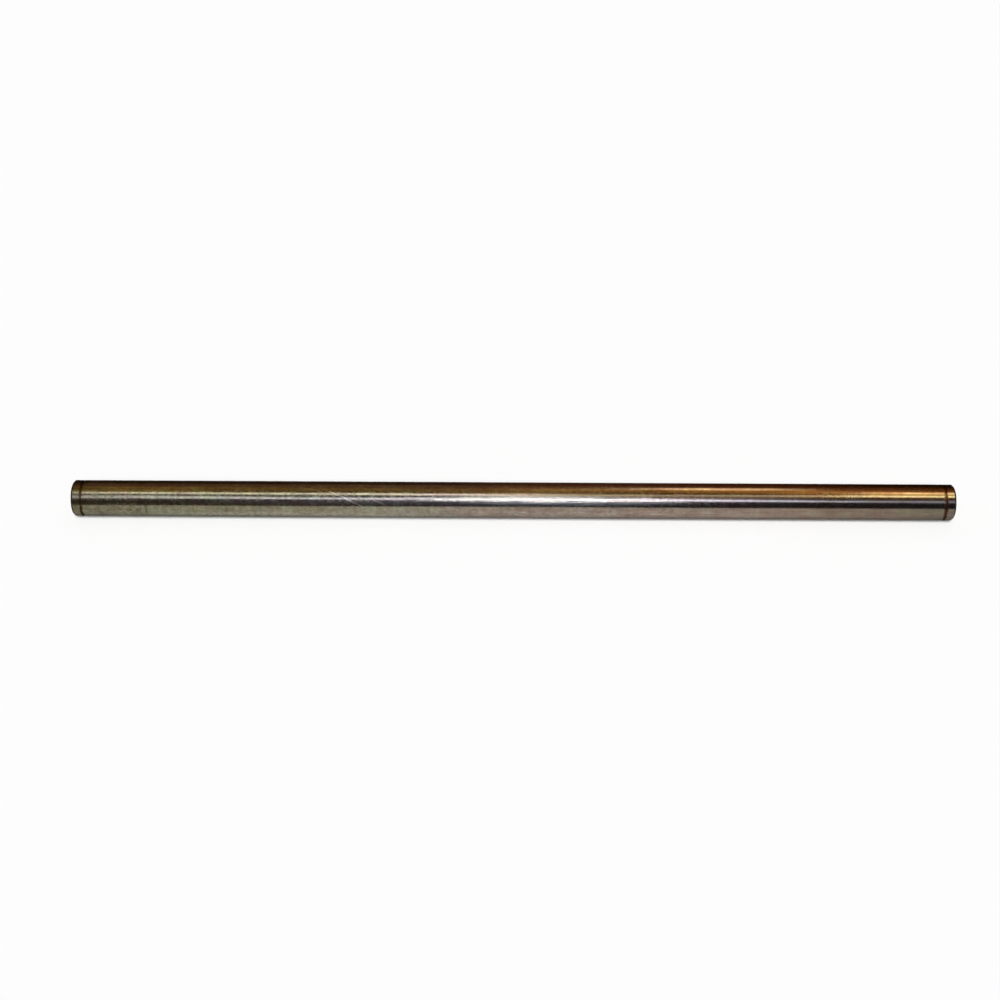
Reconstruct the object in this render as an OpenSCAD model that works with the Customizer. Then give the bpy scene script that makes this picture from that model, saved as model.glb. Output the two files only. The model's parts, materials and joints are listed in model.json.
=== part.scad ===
// Loader pivot pin: one solid round steel bar, chamfered at both ends
// and turned with a retaining-ring groove near each end face.
// It lies along X, with the origin on its axis at mid length. Millimetres.

/* [Pin] */
// Diameter of the ground shank, 1 1/4 in
pin_d = 31.75; // [20:0.05:80]
// Length over the two end faces, 30 1/2 in
pin_length = 774.7; // [150:0.1:1500]
// Leg of the 45 degree chamfer round each end face
end_chamfer = 1.6; // [0.5:0.1:3]

/* [Retaining-ring grooves] */
// From an end face to the loaded wall of its groove, 3/8 in
groove_inset = 9.525; // [8:0.005:60]
// Width of a groove between its walls
groove_w = 1.42; // [1:0.01:4]
// Depth of a groove below the shank
groove_depth = 0.94; // [0.6:0.01:3]
// Radius left by the tool nose in the corners of a groove
groove_corner_r = 0.2; // [0.05:0.05:0.4]
// Leg of the edge break at the mouth of a groove
groove_edge_break = 0.15; // [0.05:0.05:0.2]

/* [Hidden] */
$fn = 96;
pin_r = pin_d / 2;
half_length = pin_length / 2;
groove_r = pin_r - groove_depth;
groove_mid = half_length - groove_inset + groove_w / 2;
// How far a cut reaches past the surface that it opens
cut_past = 1;

// Half section of the plain bar: radius along X, pin axis along Y
module bar_section() {
    polygon([
        [0, -half_length],
        [pin_r - end_chamfer, -half_length],
        [pin_r, -half_length + end_chamfer],
        [pin_r, half_length - end_chamfer],
        [pin_r - end_chamfer, half_length],
        [0, half_length],
    ]);
}

// Half section of one groove's cut, centred on its mid plane:
// a floor with rounded corners, straight walls and a broken mouth edge
module groove_section() {
    half_w = groove_w / 2;
    corner_y = half_w - groove_corner_r;
    mouth = groove_edge_break + cut_past;
    translate([groove_r, -corner_y])
        square([groove_depth + cut_past, 2 * corner_y]);
    translate([groove_r + groove_corner_r, -half_w])
        square([groove_depth - groove_corner_r + cut_past, groove_w]);
    for (side = [-1, 1])
        translate([groove_r + groove_corner_r, side * corner_y])
            circle(r = groove_corner_r);
    polygon([
        [pin_r - groove_edge_break, -half_w],
        [pin_r + cut_past, -half_w - mouth],
        [pin_r + cut_past, half_w + mouth],
        [pin_r - groove_edge_break, half_w],
    ]);
}

module pivot_pin() {
    color([0.47, 0.43, 0.36])
        rotate([0, 90, 0])
            rotate_extrude()
                difference() {
                    bar_section();
                    for (side = [-1, 1])
                        translate([0, side * groove_mid])
                            groove_section();
                }
}

pivot_pin();
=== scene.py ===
"""Looks of the loader pivot pin: a ground round steel bar with a ring groove near each end.

The pin is one surface of revolution about X, worked out in millimetres and stored in metres.
Round it stand a white floor, one soft sun and a reflection tent, whose soft panels give the
polished steel something to mirror.
"""

import json
import logging
import math
from collections.abc import Callable, Mapping, Sequence
from dataclasses import dataclass, field
from enum import Enum
from functools import partial

import bpy
import numpy as np
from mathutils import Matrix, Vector


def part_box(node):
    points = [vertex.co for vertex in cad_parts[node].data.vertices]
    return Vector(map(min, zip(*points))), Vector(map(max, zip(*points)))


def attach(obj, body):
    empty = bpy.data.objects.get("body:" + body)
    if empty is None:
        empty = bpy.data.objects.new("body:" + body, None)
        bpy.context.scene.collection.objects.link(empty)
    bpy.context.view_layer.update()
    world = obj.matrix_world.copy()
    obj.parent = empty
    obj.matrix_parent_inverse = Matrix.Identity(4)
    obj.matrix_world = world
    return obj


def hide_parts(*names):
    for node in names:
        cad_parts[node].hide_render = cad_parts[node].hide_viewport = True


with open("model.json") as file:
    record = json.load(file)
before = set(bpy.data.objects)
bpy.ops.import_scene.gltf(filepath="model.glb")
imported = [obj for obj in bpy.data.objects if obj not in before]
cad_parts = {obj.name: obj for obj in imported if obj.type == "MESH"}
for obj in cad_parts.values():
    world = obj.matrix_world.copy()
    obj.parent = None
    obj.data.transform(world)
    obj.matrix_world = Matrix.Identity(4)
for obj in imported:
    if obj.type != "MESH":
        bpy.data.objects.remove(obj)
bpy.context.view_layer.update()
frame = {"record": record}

# Metres in a millimetre
MM = 0.001
NODE = "pivot_pin"
BODY = "root"
# A place past both ends of the tent, in millimetres
FAR = 4000
# The least slope that a length is divided by
LEAST_SLOPE = 1e-9

# Settings that many nodes share
SMOOTH = {"interpolation_type": "SMOOTHSTEP"}
OVER = {"data_type": "RGBA"}
TIMES = {"data_type": "RGBA", "blend_type": "MULTIPLY"}

log = logging.getLogger("pivot_pin")


class End(Enum):
    """The two ends of the pin, as signs along X."""

    LEFT = -1
    RIGHT = 1


class MarkKind(Enum):
    """What a single mark on the shank is, by the name of its coat in the finish."""

    STAIN = "stain"
    FRECKLES = "freckles"
    POLISH = "polish"
    SCUFF_AND_SHEEN = "scuff"
    SCRATCH = "scratch"


def linear(hex_colour: str) -> tuple[float, float, float, float]:
    """Turns an sRGB hex colour into linear light.

    Args:
        hex_colour: The colour as "#rrggbb".

    Returns:
        Red, green, blue and an alpha of 1, each from 0 to 1.
    """
    srgb = np.array([int(hex_colour[i:i + 2], 16) for i in (1, 3, 5)]) / 255
    light = np.where(srgb <= 0.04045, srgb / 12.92, ((srgb + 0.055) / 1.055) ** 2.4)
    return (*light.tolist(), 1.0)


def add(
    tree: bpy.types.NodeTree,
    kind: str,
    inputs: Sequence | Mapping = (),
    stops: Sequence[tuple[float, Sequence[float]]] = (),
    **settings: object,
) -> bpy.types.Node:
    """Adds one node with its settings, values and links.

    Args:
        tree: The node tree that takes the node.
        kind: The node's type, without its "ShaderNode" prefix.
        inputs: Values, sockets or nodes for the inputs in use, in their order or by name.
        stops: Places and colours of a colour ramp.
        **settings: The node's own settings.

    Returns:
        The new node.
    """
    made = tree.nodes.new("ShaderNode" + kind)
    for name, value in settings.items():
        setattr(made, name, value)
    sockets = [socket for socket in made.inputs if socket.enabled]
    if isinstance(inputs, Mapping):
        by_name = {socket.name: socket for socket in sockets}
        sockets = [by_name[name] for name in inputs]
        inputs = list(inputs.values())
    for socket, value in zip(sockets, inputs):
        if isinstance(value, bpy.types.Node):
            value = next(out for out in value.outputs if out.enabled)
        if isinstance(value, bpy.types.NodeSocket):
            tree.links.new(value, socket)
        else:
            socket.default_value = value
    if stops:
        ramp = made.color_ramp.elements
        while len(ramp) < len(stops):
            ramp.new(1.0)
        for element, (place, colour) in zip(ramp, stops):
            element.position = place
            element.color = colour
    return made


def blank_material(name: str) -> tuple[bpy.types.Material, Callable[..., bpy.types.Node]]:
    """Starts a material with an empty node tree.

    Args:
        name: The material's name.

    Returns:
        The material, and the function that adds a node to it.
    """
    made = bpy.data.materials.new(name)
    made.use_nodes = True
    made.node_tree.nodes.clear()
    return made, partial(add, made.node_tree)


def new_object(name: str, points_mm: np.ndarray, faces: list[Sequence[int]]) -> bpy.types.Object:
    """Makes a mesh object at the origin.

    Args:
        name: The name of the object and its mesh.
        points_mm: The points in millimetres, one a row.
        faces: The points of each face, by number.

    Returns:
        The object, in the scene.
    """
    mesh = bpy.data.meshes.new(name)
    mesh.from_pydata((points_mm * MM).tolist(), [], faces)
    made = bpy.data.objects.new(name, mesh)
    bpy.context.scene.collection.objects.link(made)
    return made


@dataclass(frozen=True)
class Mark:
    """One mark on the shank, an ellipse on its unrolled surface.

    The middle is given along the pin from mid length and round it, in degrees up from the front.
    """

    kind: MarkKind
    along_mm: float
    round_deg: float
    length_mm: float
    width_mm: float
    tilt_deg: float = 0.0
    strength: float = 1.0


class Zone(Enum):
    """Where a pattern is strong: up to a first place in millimetres along the pin.

    From there to the second place it weakens to the share that comes last.
    """

    WHOLE = (0.0, 1.0, 1.0)
    LEFT = (-250.0, -120.0, 0.35)
    ALL_BUT_RIGHT = (100.0, 230.0, 0.3)


@dataclass(frozen=True)
class Pattern:
    """One noise on the steel, by the size of its cells along X, Y and Z in millimetres.

    The tone is what it multiplies the bare steel's colour by where it is low and where it is high.
    """

    cells_mm: tuple[float, float, float]
    detail: float = 2.0
    tone: tuple[float, float] = (1.0, 1.0)
    zone: Zone = Zone.WHOLE


@dataclass(frozen=True)
class Coat:
    """A colour and roughness over the steel, broken up by the noise of a name.

    Between the noise's two edge values, the coat goes from its least cover to its most.
    """

    colour: str
    roughness: float
    noise: str = "patch"
    edge: tuple[float, float] = (0.35, 0.65)
    cover: tuple[float, float] = (1.0, 1.0)


@dataclass(frozen=True)
class GroundSteel:
    """Centreless-ground bare steel, polished by use and wiped with oil.

    Grinding leaves fine lines round the bar, so reflections stay crisp across it and break up along
    it. Old oil tints it olive to brown, most at the ends, and dark rust sits in the ring grooves.
    A field whose name ends in noise holds the values at which that noise counts as low and as high.
    """

    name: str = "ground_steel"
    # Tints by share of the length, from the left end
    along_tints: tuple[tuple[float, str], ...] = (
        (0.0, "#716d59"),
        (0.012, "#74705b"),
        (0.026, "#746f5a"),
        (0.045, "#7b765f"),
        (0.2, "#7d7963"),
        (0.38, "#8a8471"),
        (0.44, "#887c6d"),
        (0.55, "#8f8173"),
        (0.78, "#89786a"),
        (0.86, "#7f6f5f"),
        (0.975, "#74695a"),
        (1.0, "#6c6354"),
    )
    # Painted shade in red, green and blue against height, from the line it rests on to its top: darker
    # and cooler towards the underside, standing in for the shade mirrored from the floor under the pin,
    # and a little lighter on the lower flank as painted sheen
    painted_shade_by_height: tuple[tuple[float, tuple[float, float, float]], ...] = (
        (0.0, (0.6, 0.63, 0.68)),
        (0.2, (0.68, 0.72, 0.79)),
        (0.3, (0.86, 0.9, 0.98)),
        (0.4, (1.0, 1.02, 1.09)),
        (0.48, (1.05, 1.05, 1.07)),
        (0.6, (1.0, 1.0, 1.0)),
    )
    # The oil film lies over the top, from one share of the radius up to the other; its brown there is
    # partly real oil and partly painted warm reflection
    oil_film_and_painted_reflection: str = "#dcc09a"
    oil_film_and_painted_reflection_height: tuple[float, float] = (0.8, 0.97)
    oil_film_and_painted_reflection_cover: tuple[float, float] = (0.25, 0.45)
    oil_film_and_painted_reflection_noise: tuple[float, float] = (0.3, 0.6)
    # Tint of what the steel mirrors at a flat angle
    edge_tint: str = "#b4b4b4"
    # Share of the mottling's own hues in the colour
    hue_share: float = 0.17
    # Roughness where the patches are low and high, and where they have faded out
    roughness: tuple[float, float] = (0.11, 0.24)
    roughness_noise: tuple[float, float] = (0.36, 0.66)
    calm_roughness: float = 0.15
    stain: Coat = Coat("#54452c", 0.3, "patch", (0.35, 0.6), (0.55, 0.9))
    freckles: Coat = Coat("#3a2210", 0.5, "freckle", (0.53, 0.64), (0.0, 1.0))
    polish: Coat = Coat("#8f8475", 0.13, "rub", (0.3, 0.65), (0.4, 0.85))
    # Pale scuffs, and the painted sheen of one long band
    scuff: Coat = Coat("#b5aca0", 0.26, "fleck", (0.35, 0.6), (0.2, 0.6))
    scratch: Coat = Coat("#c0b6a6", 0.4, "lines", (0.3, 0.7), (0.7, 1.0))
    chamfer: Coat = Coat("#3a362a", 0.38)
    end_face: Coat = Coat("#7d7769", 0.24, "mottle", (0.35, 0.62), (0.62, 1.0))
    rust: Coat = Coat("#2d1c0d", 0.4, "patch", (0.35, 0.62), (0.7, 0.97))
    # Width of the rust's own edge at a groove's mouth
    rust_fade_mm: float = 0.1
    # Flakes of lighter rust, at the left end and redder at the right one
    flakes: tuple[str, str] = ("#4d3a1f", "#562a12")
    flake_noise: tuple[float, float] = (0.35, 0.65)
    # Rust that has bled from a groove's mouth: its reach, its most cover and where it is patchy
    bleed_mm: float = 1.5
    bleed_cover: float = 0.9
    bleed_noise: tuple[float, float] = (0.3, 0.58)
    # How far short of its edge a cut face's coat starts and is full
    chamfer_short_mm: tuple[float, float] = (0.05, -0.05)
    face_short_mm: tuple[float, float] = (0.1, 0.02)
    tone_noise: tuple[float, float] = (0.32, 0.68)
    # The grinding lines are drawn about ten times as coarse as real ones, or they wouldn't show
    lines: Pattern = Pattern((0.9, 300.0, 300.0), 1.0, (0.95, 1.04))
    streak: Pattern = Pattern((6.0, 200.0, 200.0), 2.0, (0.86, 1.11), Zone.LEFT)
    rub: Pattern = Pattern((30.0, 1.8, 1.8), 2.0, (0.91, 1.08))
    fleck: Pattern = Pattern((3.4, 2.4, 2.4), 1.0, (0.87, 1.12), Zone.ALL_BUT_RIGHT)
    mottle: Pattern = Pattern((14.0, 6.0, 6.0), 3.0, (1.1, 0.89))
    wave: Pattern = Pattern((55.0, 16.0, 16.0), 1.0)
    sway: Pattern = Pattern((24.0, 3.0, 3.0), 1.0)
    ripple: Pattern = Pattern((6.0, 3.5, 3.5), 1.0)
    gall: Pattern = Pattern((11.0, 2.2, 2.2), 3.0)
    freckle: Pattern = Pattern((0.9, 0.9, 0.9))
    patch: Pattern = Pattern((3.0, 3.0, 3.0), zone=Zone.ALL_BUT_RIGHT)
    grain: Pattern = Pattern((0.7, 0.7, 0.7))
    # Turning rings of the end faces, drawn about twice as coarse as a real facing cut
    ring_mm: float = 0.3
    ring_detail: float = 3.0
    ring_tone: tuple[float, float] = (0.88, 1.08)
    ring_noise: tuple[float, float] = (0.3, 0.7)
    ring_height_mm: float = 0.008
    line_height_mm: float = 0.006
    wave_height_mm: float = 0.05
    sway_height_mm: float = 0.018
    ripple_height_mm: float = 0.028
    # Galling shows only where use has polished the shank
    gall_height_mm: float = 0.15
    grain_height_mm: float = 0.08
    scratch_depth_mm: float = 0.03
    # Share of a mark's radius, from its rim inwards, over which it gains its strength
    mark_fade: float = 0.6
    marks: tuple[Mark, ...] = (
        Mark(MarkKind.STAIN, -383.0, 40.0, 16.0, 60.0, 0.0, 0.45),
        Mark(MarkKind.STAIN, -363.0, 3.0, 4.5, 4.0, 0.0, 0.35),
        Mark(MarkKind.STAIN, -354.0, 1.0, 6.5, 5.5, 0.0, 0.5),
        Mark(MarkKind.STAIN, -346.0, 3.0, 6.5, 5.5, 0.0, 0.5),
        Mark(MarkKind.STAIN, -337.0, 2.0, 7.5, 5.5, 0.0, 0.6),
        Mark(MarkKind.STAIN, -329.0, 1.0, 7.5, 5.5, 0.0, 0.7),
        Mark(MarkKind.STAIN, -321.5, 5.0, 3.0, 22.0, 0.0, 0.75),
        Mark(MarkKind.STAIN, -313.0, 8.0, 6.0, 5.0, 0.0, 0.4),
        Mark(MarkKind.STAIN, -280.0, 4.0, 2.0, 12.0, 0.0, 0.4),
        Mark(MarkKind.STAIN, -251.0, 0.0, 5.0, 14.0, 0.0, 0.4),
        Mark(MarkKind.STAIN, 330.0, 165.0, 16.0, 9.0, 0.0, 0.5),
        Mark(MarkKind.FRECKLES, 285.0, 82.0, 60.0, 26.0, 0.0, 1.0),
        Mark(MarkKind.FRECKLES, 358.0, 92.0, 50.0, 14.0, 0.0, 0.8),
        Mark(MarkKind.FRECKLES, -345.0, 10.0, 70.0, 30.0, 0.0, 0.6),
        Mark(MarkKind.POLISH, 25.0, 41.0, 360.0, 19.0),
        # The long pale band low on the front of the left half is painted sheen that lightens the floor
        # mirrored there; the short marks after it are scuffs
        Mark(MarkKind.SCUFF_AND_SHEEN, -190.0, -17.0, 330.0, 9.0, 0.0, 0.5),
        Mark(MarkKind.SCUFF_AND_SHEEN, -66.0, 42.0, 14.0, 2.6, 0.0, 0.8),
        Mark(MarkKind.SCUFF_AND_SHEEN, -50.0, 38.0, 18.0, 1.8, -9.0, 0.7),
        Mark(MarkKind.SCUFF_AND_SHEEN, -31.0, 0.0, 16.0, 2.0, 0.0, 0.5),
        Mark(MarkKind.SCUFF_AND_SHEEN, 9.0, -1.0, 9.0, 2.2, 0.0, 0.8),
        Mark(MarkKind.SCUFF_AND_SHEEN, 43.0, 2.0, 12.0, 1.8, 0.0, 0.5),
        Mark(MarkKind.SCUFF_AND_SHEEN, 125.0, -6.0, 18.0, 1.8, 0.0, 0.7),
        Mark(MarkKind.SCUFF_AND_SHEEN, 172.0, 0.0, 14.0, 1.6, 0.0, 0.5),
        Mark(MarkKind.SCUFF_AND_SHEEN, 214.0, -3.0, 20.0, 1.6, 0.0, 0.4),
        Mark(MarkKind.SCUFF_AND_SHEEN, -250.0, 170.0, 22.0, 2.0, 0.0, 0.5),
        Mark(MarkKind.SCUFF_AND_SHEEN, 190.0, 160.0, 18.0, 1.8, 0.0, 0.5),
        Mark(MarkKind.SCRATCH, -157.0, 60.0, 28.0, 1.8, -22.5, 0.5),
        Mark(MarkKind.SCRATCH, -140.5, 34.0, 30.0, 2.2, -26.0, 0.6),
        Mark(MarkKind.SCRATCH, -134.0, 20.0, 10.0, 1.0, -42.0, 0.5),
        Mark(MarkKind.SCRATCH, -175.0, 73.5, 26.0, 1.1, -12.0, 0.4),
        Mark(MarkKind.SCRATCH, -131.0, 80.0, 12.0, 0.9, -40.0, 0.35),
        Mark(MarkKind.SCRATCH, -116.0, 31.0, 16.0, 1.8, -20.0, 0.5),
        Mark(MarkKind.SCRATCH, 96.0, 152.0, 26.0, 1.0, 28.0, 0.5),
        Mark(MarkKind.SCRATCH, 109.0, 165.0, 14.0, 0.8, 35.0, 0.4),
    )


@dataclass
class PivotPin:
    """The pin itself: its sizes in millimetres, its surface and its finish."""

    radius: float
    half_length: float
    groove_mid: float
    groove_radius: float
    groove_width: float
    chamfer: float = 1.6
    groove_corner: float = 0.2
    groove_edge_break: float = 0.15
    edge_round: float = 0.12
    mouth_round: float = 0.04
    segments: int = 256
    corner_steps: int = 4
    longest_step: float = 6.0
    bake_strips: int = 3
    bake_gap: float = 2.0
    finish: GroundSteel = field(default_factory=GroundSteel)

    @classmethod
    def from_frame(cls) -> "PivotPin":
        """Reads the pin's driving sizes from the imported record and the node's box.

        Returns:
            The pin at its CAD size.
        """
        mounts = {mount["name"]: mount for mount in frame["record"]["mounts"]}
        groove = mounts["right_ring_groove"]
        return cls(
            radius=mounts["pivot_journal"]["dims"]["r_mm"],
            half_length=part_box(NODE)[1].x / MM,
            groove_mid=groove["pos_m"][0] / MM,
            groove_radius=groove["dims"]["r_mm"],
            groove_width=groove["dims"]["length_mm"],
        )

    def corners(self) -> np.ndarray:
        """Lists the corners of the half section from the left pole to the right one.

        Returns:
            Rows of place along X, radius and the rounding of that corner.
        """
        face_radius = self.radius - self.chamfer
        outer = -self.groove_mid - self.groove_width / 2
        inner = -self.groove_mid + self.groove_width / 2
        lip = self.radius - self.groove_edge_break
        left = np.array([
            (-self.half_length, 0.0, 0.0),
            (-self.half_length, face_radius, self.edge_round),
            (-self.half_length + self.chamfer, self.radius, self.edge_round),
            (outer - self.groove_edge_break, self.radius, self.mouth_round),
            (outer, lip, self.mouth_round),
            (outer, self.groove_radius, self.groove_corner),
            (inner, self.groove_radius, self.groove_corner),
            (inner, lip, self.mouth_round),
            (inner + self.groove_edge_break, self.radius, self.mouth_round),
        ])
        return np.vstack([left, left[::-1] * (-1, 1, 1)])

    def profile(self) -> tuple[np.ndarray, np.ndarray]:
        """Rounds the corners with arcs and divides the straight runs between them.

        Each arc starts and ends a tangent length from its corner, and its normal turns evenly
        from that of one run to that of the next.

        Returns:
            Points of the half section as X and radius, and their outward normals.
        """
        corner = self.corners()
        place, rounding = corner[:, :2], corner[:, 2]
        run = np.diff(place, axis=0)
        run /= np.linalg.norm(run, axis=1, keepdims=True)
        out = np.stack([-run[:, 1], run[:, 0]], axis=1)
        points = [place[:1]]
        normals = [out[:1]]
        for k in range(1, len(place) - 1):
            before, after = run[k - 1], run[k]
            turn = math.atan2(before[0] * after[1] - before[1] * after[0], before @ after)
            tangent = rounding[k] * math.tan(abs(turn) / 2)
            begin = place[k] - before * tangent
            share = np.linspace(0, turn, self.corner_steps + 1)[:, None]
            side = np.array([[-out[k - 1, 1], out[k - 1, 0]]])
            normal = np.cos(share) * out[k - 1] + np.sin(share) * side
            bulge = math.copysign(rounding[k], -turn)
            arc = begin + bulge * (normal - out[k - 1])
            self._divide(points, normals, begin, out[k - 1])
            points.append(arc)
            normals.append(normal)
        self._divide(points, normals, place[-1], out[-1])
        points.append(place[-1:])
        normals.append(out[-1:])
        return np.vstack(points), np.vstack(normals)

    def _divide(
        self,
        points: list[np.ndarray],
        normals: list[np.ndarray],
        end: np.ndarray,
        normal: np.ndarray,
    ) -> None:
        """Adds evenly spaced points between the last point and the end of a straight run.

        Args:
            points: The points so far, which grow.
            normals: Their normals, which grow alike.
            end: The end of the run, which isn't added.
            normal: The normal all along the run.
        """
        start = points[-1][-1]
        pieces = math.ceil(np.linalg.norm(end - start) / self.longest_step)
        share = np.linspace(0, 1, max(pieces, 1) + 1)[1:-1, None]
        points.append(start + share * (end - start))
        normals.append(np.broadcast_to(normal, (len(share), 2)))

    def build(self) -> bpy.types.Object:
        """Carries the half section round X into one closed mesh with its own bake map.

        A ring of the section at radius r has its points at r times the sine and cosine of the
        angle round X, which starts underneath, where the pin rests.

        Returns:
            The pin's object.
        """
        profile, normal = self.profile()
        ring, ring_normal = profile[1:-1], normal[1:-1]
        angle = -np.pi / 2 + np.arange(self.segments) * 2 * np.pi / self.segments
        across = np.stack([np.cos(angle), np.sin(angle)], axis=1)
        grid = np.empty((len(ring), self.segments, 3))
        grid[..., 0] = ring[:, :1]
        grid[..., 1:] = ring[:, 1, None, None] * across
        facing = np.empty_like(grid)
        facing[..., 0] = ring_normal[:, :1]
        facing[..., 1:] = ring_normal[:, 1, None, None] * across
        poles = np.array([(profile[0, 0], 0, 0), (profile[-1, 0], 0, 0)])
        verts = np.vstack([grid.reshape(-1, 3), poles])
        normals = np.vstack([facing.reshape(-1, 3), [(-1, 0, 0), (1, 0, 0)]])

        here = np.arange(grid.shape[0] * self.segments).reshape(grid.shape[:2])
        there = np.roll(here, -1, axis=1)
        quads = np.stack([here[:-1], there[:-1], there[1:], here[1:]], axis=-1).reshape(-1, 4)
        left_pole = np.full(self.segments, here.size)
        left_fan = np.stack([left_pole, there[0], here[0]], axis=-1)
        right_fan = np.stack([left_pole + 1, here[-1], there[-1]], axis=-1)
        faces = quads.tolist() + left_fan.tolist() + right_fan.tolist()

        piece = new_object("ground_pin", verts, faces)
        piece.data.shade_smooth()
        piece.data.normals_split_custom_set_from_vertices(normals)
        bake_map = piece.data.uv_layers.new(name="OFBake")
        bake_map.data.foreach_set("uv", self._bake_places(profile).ravel())
        piece.data.validate()
        return piece

    def _bake_places(self, profile: np.ndarray) -> np.ndarray:
        """Lays the surface out flat for baking.

        The turned surface is cut across into strips of equal length, stacked one over another, with
        length along the section to the right and way round the pin upwards. The two end faces are
        discs beside them.

        Args:
            profile: The half section's points.

        Returns:
            One place in the unit square for each corner of each face, in the mesh's order.
        """
        ring = profile[1:-1]
        girth = 2 * np.pi * self.radius
        length = np.append(0, np.cumsum(np.linalg.norm(np.diff(ring, axis=0), axis=1)))
        strip_length = length[-1] / self.bake_strips
        middle = (length[:-1] + length[1:]) / 2
        strip = np.minimum(middle // strip_length, self.bake_strips - 1)
        step = np.arange(self.segments) * girth / self.segments
        next_step = step + girth / self.segments
        pitch = girth + self.bake_gap
        margin = self.longest_step + self.bake_gap
        left = margin + length[:-1] - strip * strip_length
        right = margin + length[1:] - strip * strip_length
        low = self.bake_gap + strip[:, None] * pitch + step
        high = self.bake_gap + strip[:, None] * pitch + next_step
        quads = np.empty((len(strip), self.segments, 4, 2))
        quads[:, :, (0, 1), 0] = left[:, None, None]
        quads[:, :, (2, 3), 0] = right[:, None, None]
        quads[:, :, (0, 3), 1] = low[..., None]
        quads[:, :, (1, 2), 1] = high[..., None]

        face_radius = ring[0, 1]
        disc_x = 2 * margin + strip_length + face_radius
        disc_pitch = 2 * face_radius + self.bake_gap
        turn, next_turn = step / self.radius, next_step / self.radius
        first = np.stack([np.cos(turn), np.sin(turn)], axis=1)
        second = np.stack([np.cos(next_turn), np.sin(next_turn)], axis=1)
        discs = []
        for row, end in enumerate(End):
            centre = np.array([disc_x, self.bake_gap + face_radius + row * disc_pitch])
            rim = [second, first] if end is End.LEFT else [first, second]
            fan = np.stack([np.zeros_like(first), *rim], axis=1)
            discs.append((centre + face_radius * fan).reshape(-1, 2))
        places = np.vstack([quads.reshape(-1, 2), *discs])
        side = max(disc_x + face_radius + self.bake_gap, self.bake_gap + self.bake_strips * pitch)
        return places / side

    def dress(self, piece: bpy.types.Object) -> None:
        """Gives the pin its steel and ties it to the frame.

        Args:
            piece: The pin's object.
        """
        piece.data.materials.append(SteelNodes(self).material())
        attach(piece, BODY)
        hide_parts(NODE)


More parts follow.
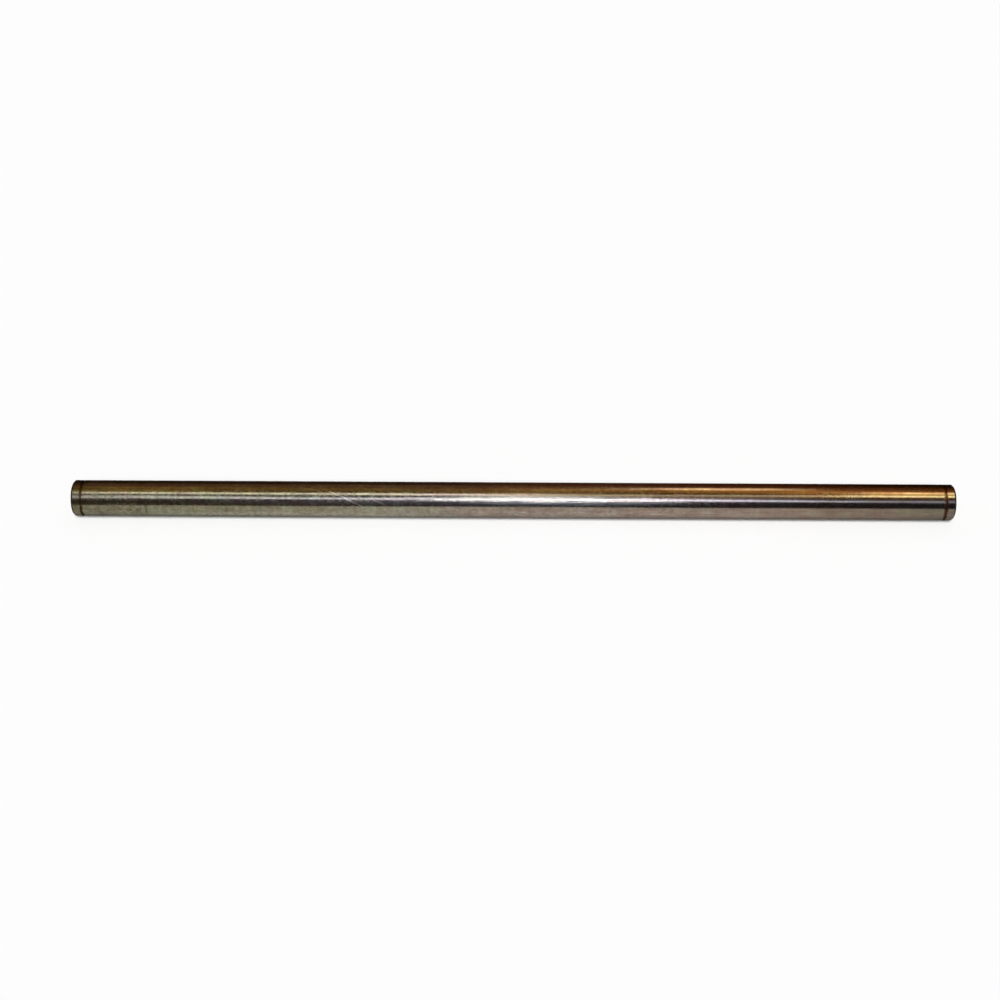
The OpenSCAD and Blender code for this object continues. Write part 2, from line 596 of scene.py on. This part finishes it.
class SteelNodes:
    """Builds the ground steel's node tree for one pin."""

    def __init__(self, pin: PivotPin) -> None:
        """Starts the material with the coordinates and noises that its layers share.

        Args:
            pin: The pin that the steel is for.
        """
        self.pin = pin
        self.finish = pin.finish
        self.made, self.add = blank_material(self.finish.name)
        place = self.add("TexCoord").outputs["Object"]
        self.x, y, self.z = self.add("SeparateXYZ", [place]).outputs
        self.along = self.add("MapRange", [self.x, -pin.half_length * MM, pin.half_length * MM])
        self.from_middle = self.add("Math", [self.x], operation="ABSOLUTE")
        across = self.add("CombineXYZ", [0.0, y, self.z])
        from_axis = self.add("VectorMath", [across], operation="LENGTH")
        front = self.add("Math", [y, -1.0], operation="MULTIPLY")
        angle = self.add("Math", [self.z, front], operation="ARCTAN2")
        arc = self.add("Math", [angle, pin.radius * MM], operation="MULTIPLY")
        self.unrolled = self.add("CombineXYZ", [self.x, arc])
        turns = self.add("Math", [from_axis, 1 / (self.finish.ring_mm * MM)], operation="MULTIPLY")
        levels = {"W": turns, "Scale": 1.0, "Detail": self.finish.ring_detail}
        self.rings = self.add("TexNoise", levels, noise_dimensions="1D")
        self.noise = {}
        for name, pattern in vars(self.finish).items():
            if isinstance(pattern, Pattern):
                scale = [1 / (size * MM) for size in pattern.cells_mm]
                cells = self.add("Mapping", {"Vector": place, "Scale": scale})
                levels = {"Vector": cells, "Scale": 1.0, "Detail": pattern.detail}
                self.noise[name] = self.add("TexNoise", levels)

    def strength(self, pattern: Pattern) -> bpy.types.Node:
        """Weighs places along the pin by a pattern's zone.

        Args:
            pattern: The pattern.

        Returns:
            A node whose value is 1 where the pattern is strong.
        """
        full_mm, weak_mm, rest = pattern.zone.value
        return self.add("MapRange", [self.x, full_mm * MM, weak_mm * MM, 1.0, rest], **SMOOTH)

    def marks(self, kind: MarkKind) -> bpy.types.Node:
        """Joins all marks of one kind into a mask.

        Args:
            kind: The kind of mark.

        Returns:
            A node whose value is each mark's strength in its middle, and 0 outside.
        """
        total = 0.0
        for mark in (each for each in self.finish.marks if each.kind is kind):
            arc = math.radians(mark.round_deg) * self.pin.radius
            shape = {
                "Vector": self.unrolled,
                "Location": (mark.along_mm * MM, arc * MM, 0),
                "Rotation": (0, 0, math.radians(mark.tilt_deg)),
                "Scale": (mark.length_mm / 2 * MM, mark.width_mm / 2 * MM, 1),
            }
            local = self.add("Mapping", shape, vector_type="TEXTURE")
            spot = self.add("TexGradient", [local], gradient_type="SPHERICAL").outputs["Fac"]
            spot = self.add("MapRange", [spot, 0.0, self.finish.mark_fade, 0.0, mark.strength], **SMOOTH)
            total = self.add("Math", [total, spot], operation="MAXIMUM")
        return total

    def bare(self) -> bpy.types.Node:
        """Colours the bare ground shank.

        The tint along the bar is broken up by grinding streaks, flecks and slow mottling, given painted
        shade that darkens and cools it towards the underside with a slightly lighter painted sheen on
        the lower flank, and browned on top by the oil film, which is partly painted warm reflection.

        Returns:
            The shank's colour.
        """
        finish = self.finish
        radius = self.pin.radius * MM
        tints = [(place, linear(colour)) for place, colour in finish.along_tints]
        colour = self.add("ValToRGB", [self.along], tints)
        mottle = self.noise["mottle"]
        hue = mottle.outputs["Color"]
        colour = self.add("Mix", [finish.hue_share, colour, hue], data_type="RGBA", blend_type="OVERLAY")
        for name, noise in self.noise.items():
            pattern = getattr(finish, name)
            if pattern.tone != (1.0, 1.0):
                tone = self.add("MapRange", [noise, *finish.tone_noise, *pattern.tone], **SMOOTH)
                colour = self.add("Mix", [self.strength(pattern), colour, tone], **TIMES)
        # Painted shade by height: darker and cooler towards the underside, a little lighter on the lower
        # flank
        height = self.add("MapRange", [self.z, -radius, radius])
        painted_shades = [(place, (*shade, 1.0)) for place, shade in finish.painted_shade_by_height]
        colour = self.add("Mix", [1.0, colour, self.add("ValToRGB", [height], painted_shades)], **TIMES)
        # Brown over the top, partly oil film and partly painted warm reflection
        top = self.add("MapRange", [self.z, *(share * radius for share in finish.oil_film_and_painted_reflection_height)], **SMOOTH)
        cover = self.add("MapRange", [mottle, *finish.oil_film_and_painted_reflection_noise, *finish.oil_film_and_painted_reflection_cover], **SMOOTH)
        cover = self.add("Math", [top, cover], operation="MULTIPLY")
        oiled_and_reflected = self.add("Mix", [1.0, colour, linear(finish.oil_film_and_painted_reflection)], **TIMES)
        return self.add("Mix", [cover, colour, oiled_and_reflected], **OVER)

    def rust(self) -> bpy.types.Node:
        """Finds the rust in the ring grooves, with a little that has bled past their mouths.

        Returns:
            A mask that is 1 in the grooves.
        """
        finish = self.finish
        mouth = (self.pin.groove_width / 2 + self.pin.groove_edge_break) * MM
        faded = mouth + finish.rust_fade_mm * MM
        bled = mouth + finish.bleed_mm * MM
        off = self.add("Math", [self.from_middle, self.pin.groove_mid * MM], operation="SUBTRACT")
        off = self.add("Math", [off], operation="ABSOLUTE")
        inside = self.add("MapRange", [off, mouth, faded, 1.0, 0.0], **SMOOTH)
        bleed = self.add("MapRange", [off, mouth, bled, finish.bleed_cover, 0.0], **SMOOTH)
        patchy = self.add("MapRange", [self.noise["patch"], *finish.bleed_noise], **SMOOTH)
        bleed = self.add("Math", [bleed, patchy], operation="MULTIPLY")
        return self.add("Math", [inside, bleed], operation="MAXIMUM")

    def relief(self, masks: Mapping[str, bpy.types.Node]) -> bpy.types.Node:
        """Adds up the surface's fine heights.

        Args:
            masks: The coats' masks by name.

        Returns:
            The bent normal.
        """
        finish, noise = self.finish, self.noise
        rings = self.add("Math", [self.rings, masks["chamfer"]], operation="MULTIPLY")
        grain = self.add("Math", [noise["grain"], masks["rust"]], operation="MULTIPLY")
        gall = self.add("Math", [noise["gall"], masks["polish"]], operation="MULTIPLY")
        heights = (
            (noise["wave"], finish.wave_height_mm),
            (gall, finish.gall_height_mm),
            (noise["sway"], finish.sway_height_mm),
            (noise["ripple"], finish.ripple_height_mm),
            (noise["lines"], finish.line_height_mm),
            (rings, finish.ring_height_mm),
            (grain, finish.grain_height_mm),
            (masks["scratch"], -finish.scratch_depth_mm),
        )
        total = 0.0
        for layer, height_mm in heights:
            total = self.add("Math", [layer, height_mm, total], operation="MULTIPLY_ADD")
        return self.add("Bump", {"Height": total, "Distance": MM})

    def material(self) -> bpy.types.Material:
        """Lays marks, cut faces and rust over the bare shank and puts the steel together.

        Returns:
            The finished material.
        """
        finish = self.finish
        face = self.pin.half_length
        edge = face - self.pin.chamfer
        chamfer_span = [(edge - short) * MM for short in finish.chamfer_short_mm]
        face_span = [(face - short) * MM for short in finish.face_short_mm]
        masks = {kind.value: self.marks(kind) for kind in MarkKind}
        masks["chamfer"] = self.add("MapRange", [self.from_middle, *chamfer_span])
        masks["end_face"] = self.add("MapRange", [self.from_middle, *face_span])
        masks["rust"] = self.rust()
        colour = self.bare()
        patch = self.noise["patch"]
        rough = self.add("MapRange", [patch, *finish.roughness_noise, *finish.roughness], **SMOOTH)
        patchy = self.strength(finish.patch)
        rough = self.add("Mix", [patchy, finish.calm_roughness, rough], data_type="FLOAT")
        for name in masks:
            coat = getattr(finish, name)
            cover = self.add("MapRange", [self.noise[coat.noise], *coat.edge, *coat.cover], **SMOOTH)
            masks[name] = self.add("Math", [masks[name], cover], operation="MULTIPLY")
            colour = self.add("Mix", [masks[name], colour, linear(coat.colour)], **OVER)
            rough = self.add("Mix", [masks[name], rough, coat.roughness], data_type="FLOAT")
        tone = self.add("MapRange", [self.rings, *finish.ring_noise, *finish.ring_tone], **SMOOTH)
        colour = self.add("Mix", [masks["chamfer"], colour, tone], **TIMES)
        flakes = self.add("MapRange", [self.noise["grain"], *finish.flake_noise], **SMOOTH)
        flakes = self.add("Math", [flakes, masks["rust"]], operation="MULTIPLY")
        flake_colour = self.add("Mix", [self.along, *map(linear, finish.flakes)], **OVER)
        shader = {
            "Base Color": self.add("Mix", [flakes, colour, flake_colour], **OVER),
            "Metallic": 1.0,
            "Roughness": rough,
            "Specular Tint": linear(finish.edge_tint),
            "Normal": self.relief(masks),
        }
        self.add("OutputMaterial", [self.add("BsdfPrincipled", shader)])
        return self.made


@dataclass(frozen=True)
class Panel:
    """One soft-edged panel of the reflection tent.

    The arc is in degrees round the pin, up from the floor in front. The stretch is in millimetres
    along the pin, where the camera sees the panel mirrored.
    """

    name: str
    arc: tuple[float, float]
    stretch: tuple[float, float]
    colour: str
    strength: float
    arc_fade: float = 7.0
    stretch_fade: float = 70.0


@dataclass
class ReflectionTent:
    """A half-round tent over the pin that only mirrors see, dark with soft lit panels.

    In front and at the back it ends in a skirt, which lies on the floor towards the pin. Sizes are in
    millimetres and arcs in degrees. The spread is how many times further along the tent a panel stands
    than the place on the pin that mirrors it to the camera.
    """

    floor: float
    radius: float = 1000.0
    half_length: float = 3600.0
    spread: float = 1.69
    first_arc: float = -3.3
    last_arc: float = 192.0
    skirt_lift: float = 0.3
    arc_steps: int = 388
    length_steps: int = 240
    dark: str = "#231d19"
    panels: tuple[Panel, ...] = (
        Panel("floor_right", (-6, -1.1), (170, FAR), "#fafafa", 1.0, 2, 160),
        Panel("front_shade", (-6, 36), (-FAR, FAR), "#d2d2ff", 0.05, 8),
        Panel("front_left", (-4, 16), (-FAR, -170), "#ffe29a", 0.09, 12, 120),
        Panel("left_purple", (14, 36), (-265, -80), "#d8ccff", 0.15, 10, 80),
        Panel("left_tail", (23, 37), (-FAR, -275), "#f0dfbc", 0.13, 10, 70),
        Panel("front_cool", (-4, 30), (-200, -60), "#e0ccff", 0.06, 12, 100),
        Panel("front_middle", (0, 26), (-30, 105), "#aaceef", 0.23, 14, 100),
        Panel("main_glow", (21, 35), (-30, 122), "#c2d4fa", 1.75, 16, 90),
        Panel("main_strip", (34, 56), (-62, 88), "#d8e6fa", 6.3, 9, 60),
        Panel("strip_right_of_middle", (37, 54.5), (88, 155), "#d6dcfa", 6.6, 9, 75),
        Panel("strip_tail", (28, 40), (-145, -94), "#cfc4ff", 0.5, 14, 45),
        Panel("far_left_strip", (40, 57), (-FAR, -300), "#e4e4ff", 2.5, 8, 60),
        Panel("left_strip", (41, 55), (-300, -222), "#dee2fc", 3.6, 7, 60),
        Panel("mid_left_strip", (41.3, 51), (-222, -70), "#d8d6ff", 4.7, 6, 60),
        Panel("right_strip", (39, 50.5), (155, 252), "#c2d6ff", 5.1, 7, 75),
        Panel("right_thin_strip", (39.5, 46), (252, 306), "#c2d6ff", 4.7, 6, 40),
        Panel("far_right_strip", (38, 50), (306, FAR), "#c8d2ff", 2.0, 9, 40),
        Panel("upper_line", (70.5, 81.6), (-FAR, 0), "#eeeaee", 3.8, 6, 100),
        Panel("upper_line_edge", (81, 99), (-FAR, -270), "#fff68a", 0.27, 8, 90),
        Panel("upper_line_end", (71, 83), (-20, 290), "#faf2d2", 1.27, 6, 90),
        Panel("upper_line_shoulder", (80, 92), (-20, 75), "#ffe6c4", 0.5, 8, 60),
        Panel("gap_left", (54, 71), (-FAR, -120), "#e8ecf4", 0.42, 7, 120),
        Panel("gap_middle", (57, 72), (-47, 70), "#e2f0ff", 2.1, 8, 80),
        Panel("gap_right", (56, 71), (75, 255), "#f0e2d6", 0.52),
        Panel("olive_band", (88, 120), (-FAR, -220), "#fccf7c", 0.42, 9, 110),
        Panel("brown_band", (88, 116), (-220, 100), "#fcd884", 0.37, 12, 90),
        Panel("brown_middle", (102, 128), (0, 95), "#ffd890", 0.32, 14, 70),
        Panel("orange_band", (92, 118), (120, 300), "#ffc860", 0.76, 10, 110),
        Panel("orange_right", (84, 114), (236, 316), "#ffca80", 0.58, 10, 50),
        Panel("orange_line", (116, 131), (122, 240), "#fff7da", 3.4, 8, 70),
        Panel("gold_lower", (72, 83), (284, FAR), "#fff8cf", 6.5, 5, 70),
        Panel("gold_between", (83, 93), (310, FAR), "#ffe06c", 1.9, 5, 50),
        Panel("gold_upper", (93, 105.5), (312, FAR), "#ffe6bc", 6.1, 5, 50),
        Panel("brown_gap", (50, 67), (300, FAR), "#ffcf7c", 0.24, 10, 50),
        Panel("brown_back", (112, 150), (-FAR, 130), "#ffd0b0", 0.24, 24, 120),
        Panel("rust_back", (108, 146), (130, FAR), "#ffa45c", 0.3, 24, 120),
        Panel("rust_glow", (100, 122), (290, FAR), "#ffa850", 0.5, 20, 60),
        Panel("back_glow", (152, 190), (-20, 300), "#ff9848", 0.12, 20, 120),
        Panel("back_line", (168, 190), (-FAR, 130), "#d8e4ff", 0.1, 8, 120),
        Panel("back_shade", (100, 196), (-FAR, FAR), "#ff9a5c", 0.05, 16),
    )

    def glow(self, arc: np.ndarray, along: np.ndarray) -> np.ndarray:
        """Adds up the panels' light.

        Args:
            arc: Degrees round the pin, one for each row.
            along: Millimetres along the pin, one for each column.

        Returns:
            Linear colours with alpha, rows by columns.
        """
        total = np.empty((len(arc), len(along), 4))
        total[:] = linear(self.dark)
        for panel in self.panels:
            rise = self.soft(arc, panel.arc, panel.arc_fade)[:, None]
            reach = self.soft(along, panel.stretch, panel.stretch_fade)[None, :]
            total += (rise * reach * panel.strength)[..., None] * np.array(linear(panel.colour))
        return total

    @staticmethod
    def soft(place: np.ndarray, span: tuple[float, float], fade: float) -> np.ndarray:
        """Weighs places by a span with soft edges.

        Over the width of an edge the weight rises as 3 t squared less 2 t cubed.

        Args:
            place: The places.
            span: The middles of the two edges.
            fade: The width of each edge.

        Returns:
            Weights from 0 outside the span to 1 within it.
        """
        up = np.clip((place - span[0]) / fade + 0.5, 0, 1)
        down = np.clip((span[1] - place) / fade + 0.5, 0, 1)
        edge = np.minimum(up, down)
        return edge * edge * (3 - 2 * edge)

    def build(self) -> bpy.types.Object:
        """Makes the tent as a half tube on a grid, with its light in a colour attribute.

        A point at an angle round the pin lies forward by its reach times the cosine and up by its
        reach times the sine. The reach is the radius, or less where that would go below the floor,
        so as to end on it. Along the pin the places go by the cube of their share of the half
        length, so that they are closest in the middle.

        Returns:
            The tent's object.
        """
        arc = np.linspace(self.first_arc, self.last_arc, self.arc_steps + 1)
        along = self.half_length * np.linspace(-1, 1, self.length_steps + 1) ** 3
        turn = np.radians(arc)
        slope = np.maximum(-np.sin(turn), LEAST_SLOPE)
        reach = np.minimum(self.radius, (-self.floor - self.skirt_lift) / slope)
        grid = np.empty((len(arc), len(along), 3))
        grid[..., 0] = along * self.spread
        grid[..., 1] = (-reach * np.cos(turn))[:, None]
        grid[..., 2] = (reach * np.sin(turn))[:, None]
        here = np.arange(grid.shape[0] * grid.shape[1]).reshape(grid.shape[:2])
        faces = np.stack([here[:-1, :-1], here[:-1, 1:], here[1:, 1:], here[1:, :-1]], axis=-1)
        tent = new_object("reflection_tent", grid.reshape(-1, 3), faces.reshape(-1, 4).tolist())
        light = tent.data.color_attributes.new("glow", "FLOAT_COLOR", "POINT")
        light.data.foreach_set("color", self.glow(arc, along).ravel())
        tent.data.materials.append(self.cloth())
        for ray in ("camera", "diffuse", "transmission", "volume_scatter", "shadow"):
            setattr(tent, "visible_" + ray, False)
        return tent

    def cloth(self) -> bpy.types.Material:
        """Makes the tent's lit cloth, which shines as its colour attribute says.

        Returns:
            The cloth's material.
        """
        made, add_node = blank_material("tent_cloth")
        light = add_node("Attribute", attribute_name="glow")
        add_node("OutputMaterial", [add_node("Emission", [light])])
        return made


@dataclass
class Studio:
    """The white floor, the soft sun in front and the white surround.

    Sizes are in millimetres and angles in degrees.
    """

    floor_height: float
    floor_half: float = 12000.0
    floor_colour: str = "#fafafa"
    floor_roughness: float = 0.9
    # Strength of the surround where the camera and mirrors don't see it
    fill: float = 0.15
    sun_strength: float = 3.6
    sun_elevation: float = 50.0
    sun_softness: float = 26.0

    def build(self) -> list[bpy.types.Object]:
        """Makes the floor, the sun and the world.

        Returns:
            The floor and the sun.
        """
        self._world()
        return [self._floor(), self._sun()]

    def _floor(self) -> bpy.types.Object:
        """Lays a plain white paper floor under the pin, a square of four corners.

        Matt paper is even and has no gloss, so it shows the shadow and nothing else.

        Returns:
            The floor's object.
        """
        made, add_node = blank_material("white_paper")
        paper = {
            "Base Color": linear(self.floor_colour),
            "Roughness": self.floor_roughness,
            "Specular IOR Level": 0.0,
        }
        add_node("OutputMaterial", [add_node("BsdfPrincipled", paper)])
        side = np.array([-1, 1, 1, -1]) * self.floor_half
        front = np.array([-1, -1, 1, 1]) * self.floor_half
        corners = np.stack([side, front, np.full(4, self.floor_height)], axis=1)
        floor = new_object("floor", corners, [(0, 1, 2, 3)])
        floor.data.materials.append(made)
        return floor

    def _sun(self) -> bpy.types.Object:
        """Hangs the soft sun above the camera, kept out of mirrors, which have the tent.

        Returns:
            The sun's object.
        """
        light = bpy.data.lights.new("soft_sun", "SUN")
        light.energy = self.sun_strength
        light.angle = math.radians(self.sun_softness)
        sun = bpy.data.objects.new("soft_sun", light)
        sun.rotation_euler = (math.radians(90 - self.sun_elevation), 0, 0)
        sun.visible_glossy = False
        bpy.context.scene.collection.objects.link(sun)
        return sun

    def _world(self) -> None:
        """Fills the room with even light, white where the camera and mirrors look."""
        world = bpy.data.worlds.new("white_room")
        bpy.context.scene.world = world
        world.use_nodes = True
        world.node_tree.nodes.clear()
        add_node = partial(add, world.node_tree)
        path = add_node("LightPath").outputs
        seen = path["Is Camera Ray"]
        for ray in ("Is Glossy Ray", "Is Transmission Ray"):
            seen = add_node("Math", [seen, path[ray]], operation="ADD", use_clamp=True)
        level = add_node("MapRange", {"Value": seen, "To Min": self.fill, "To Max": 1.0})
        shine = add_node("Background", {"Color": linear("#ffffff"), "Strength": level})
        add_node("OutputWorld", [shine])


@dataclass
class PhotoCamera:
    """The camera at the photograph's viewing angle, with sizes in millimetres and angles in degrees."""

    elevation: float = 41.0
    azimuth: float = 0.459
    distance: float = 1445.0
    aim: tuple[float, float, float] = (-11.3, 0.0, 0.18)
    lens: float = 58.91
    sensor: float = 36.0

    def build(self) -> bpy.types.Object:
        """Sets the camera back from its aim along the viewing angle.

        Returns:
            The camera's object.
        """
        up, aside = math.radians(self.elevation), math.radians(self.azimuth)
        back = Vector((math.sin(aside) * math.cos(up), -math.cos(aside) * math.cos(up), math.sin(up)))
        data = bpy.data.cameras.new("photo_camera")
        data.lens = self.lens
        data.sensor_width = self.sensor
        camera = bpy.data.objects.new("photo_camera", data)
        camera.location = (Vector(self.aim) + back * self.distance) * MM
        camera.rotation_mode = "QUATERNION"
        camera.rotation_quaternion = (-back).to_track_quat("-Z", "Y")
        bpy.context.scene.collection.objects.link(camera)
        bpy.context.scene.camera = camera
        return camera


def main() -> None:
    """Builds the pin, the tent, the studio and the camera."""
    logging.basicConfig(level=logging.INFO, format="%(name)s: %(message)s")
    bpy.context.scene.view_settings.view_transform = "Standard"
    pin = PivotPin.from_frame()
    piece = pin.build()
    pin.dress(piece)
    log.info("%s: %d faces", piece.name, len(piece.data.polygons))
    tent = ReflectionTent(floor=-pin.radius)
    log.info("%s: %d panels", tent.build().name, len(tent.panels))
    for part in Studio(floor_height=-pin.radius).build():
        log.info("%s is set", part.name)
    camera = PhotoCamera().build()
    log.info("%s looks from %s", camera.name, tuple(round(v, 3) for v in camera.location))


if __name__ == "__main__":
    main()
